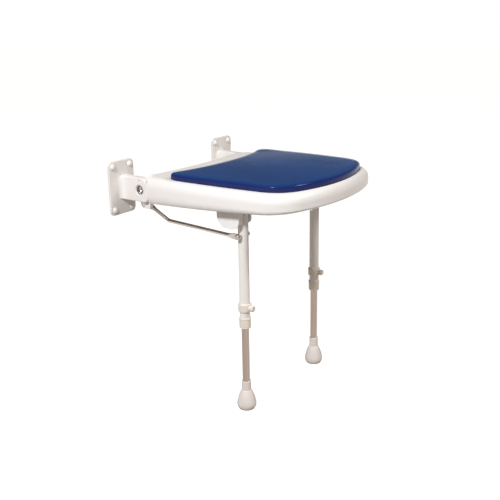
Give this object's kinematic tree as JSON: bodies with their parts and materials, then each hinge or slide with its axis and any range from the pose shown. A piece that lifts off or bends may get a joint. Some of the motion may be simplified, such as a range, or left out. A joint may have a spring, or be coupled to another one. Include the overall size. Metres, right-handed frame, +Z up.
{
  "type": "fold down wall seat",
  "caption": "Wall mounted fold down shower seat: moulded tray shell with a padded top, hinged between two wall brackets, with height adjustable legs that fold by link struts",
  "frame": {"origin": "on the wall plane, midway between the two wall brackets, at the height of the hinge axis, which is the centre of the wall screw pattern", "axes": "+Y points into the wall, so the seat stands out towards -Y; +Z is up; X runs along the wall"},
  "size_m": [0.497, 0.533, 0.603],
  "materials": {
    "coated_metal": "white powder coat, satin",
    "white_plastic": "smooth white moulding, satin gloss",
    "pad_skin": "moulded foam pad with a smooth glossy blue skin",
    "coated_tube": "white powder coat, satin",
    "bright_tube": "polished tube",
    "bright_strut": "polished tube with pressed ends",
    "steel": "stainless steel, as turned",
    "nylon": "nylon, off white",
    "white_rubber": "white rubber, matt"
  },
  "bodies": {
    "wall_frame": {"wall_bracket_left": "coated_metal", "wall_bracket_right": "coated_metal", "screw_caps_left": "white_plastic", "screw_caps_right": "white_plastic", "hinge_tube": "steel", "cross_pin_left": "steel", "cross_pin_right": "steel", "strut_pin_left": "steel", "strut_pin_right": "steel", "strut_pin_ring_left": "steel", "strut_pin_ring_right": "steel"},
    "seat": {"seat_shell": "white_plastic", "hinge_bushes_left": "nylon", "hinge_bushes_right": "nylon", "seat_pad": "pad_skin", "pad_screws": "steel", "leg_bracket_left": "white_plastic", "leg_bracket_right": "white_plastic", "bracket_screws_left": "steel", "bracket_screws_right": "steel", "leg_pin_left": "steel", "leg_pin_right": "steel", "leg_spacer_left": "nylon", "leg_spacer_right": "nylon"},
    "leg_left": {"upper_tube_left": "coated_tube", "tube_plug_left": "white_plastic", "tube_ferrule_left": "white_plastic", "clamp_collar_left": "white_plastic", "strut_bolt_left": "steel", "strut_spacer_left": "nylon", "strut_nut_left": "steel"},
    "lower_leg_left": {"lower_tube_left": "bright_tube", "foot_left": "white_rubber", "foot_disc_left": "steel"},
    "knob_left": {"clamp_knob_left": "white_plastic"},
    "strut_arm_left": {"strut_left": "bright_strut"},
    "leg_right": {"upper_tube_right": "coated_tube", "tube_plug_right": "white_plastic", "tube_ferrule_right": "white_plastic", "clamp_collar_right": "white_plastic", "strut_bolt_right": "steel", "strut_spacer_right": "nylon", "strut_nut_right": "steel"},
    "lower_leg_right": {"lower_tube_right": "bright_tube", "foot_right": "white_rubber", "foot_disc_right": "steel"},
    "knob_right": {"clamp_knob_right": "white_plastic"},
    "strut_arm_right": {"strut_right": "bright_strut"}
  },
  "joints": [
    {"name": "seat_fold", "type": "hinge", "parent": "wall_frame", "child": "seat", "pos_m": [0, -0.067, 0], "axis": [-1, 0, 0], "range_deg": [0, 90]},
    {"name": "leg_fold_left", "type": "hinge", "parent": "seat", "child": "leg_left", "pos_m": [-0.16, -0.348, -0.044], "axis": [1, 0, 0], "range_deg": [0, 90]},
    {"name": "strut_swing_left", "type": "hinge", "parent": "wall_frame", "child": "strut_arm_left", "pos_m": [-0.1805, -0.067, -0.04], "axis": [-1, 0, 0], "range_deg": [0, 90]},
    {"name": "leg_height_left", "type": "slide", "parent": "leg_left", "child": "lower_leg_left", "axis": [0, 0, 1], "range_m": [-0.05, 0.1]},
    {"name": "clamp_turn_left", "type": "hinge", "parent": "leg_left", "child": "knob_left", "pos_m": [-0.16, -0.368, -0.265], "axis": [0, -1, 0], "range_deg": [0, 360]},
    {"name": "leg_fold_right", "type": "hinge", "parent": "seat", "child": "leg_right", "pos_m": [0.16, -0.348, -0.044], "axis": [1, 0, 0], "range_deg": [0, 90]},
    {"name": "strut_swing_right", "type": "hinge", "parent": "wall_frame", "child": "strut_arm_right", "pos_m": [0.1805, -0.067, -0.04], "axis": [-1, 0, 0], "range_deg": [0, 90]},
    {"name": "leg_height_right", "type": "slide", "parent": "leg_right", "child": "lower_leg_right", "axis": [0, 0, 1], "range_m": [-0.05, 0.1]},
    {"name": "clamp_turn_right", "type": "hinge", "parent": "leg_right", "child": "knob_right", "pos_m": [0.16, -0.368, -0.265], "axis": [0, -1, 0], "range_deg": [0, 360]}
  ],
  "couplings": [
    {"joint": "leg_fold_left", "follows": "seat_fold", "ratio": 1},
    {"joint": "strut_swing_left", "follows": "seat_fold", "ratio": 1},
    {"joint": "leg_fold_right", "follows": "seat_fold", "ratio": 1},
    {"joint": "strut_swing_right", "follows": "seat_fold", "ratio": 1}
  ]
}
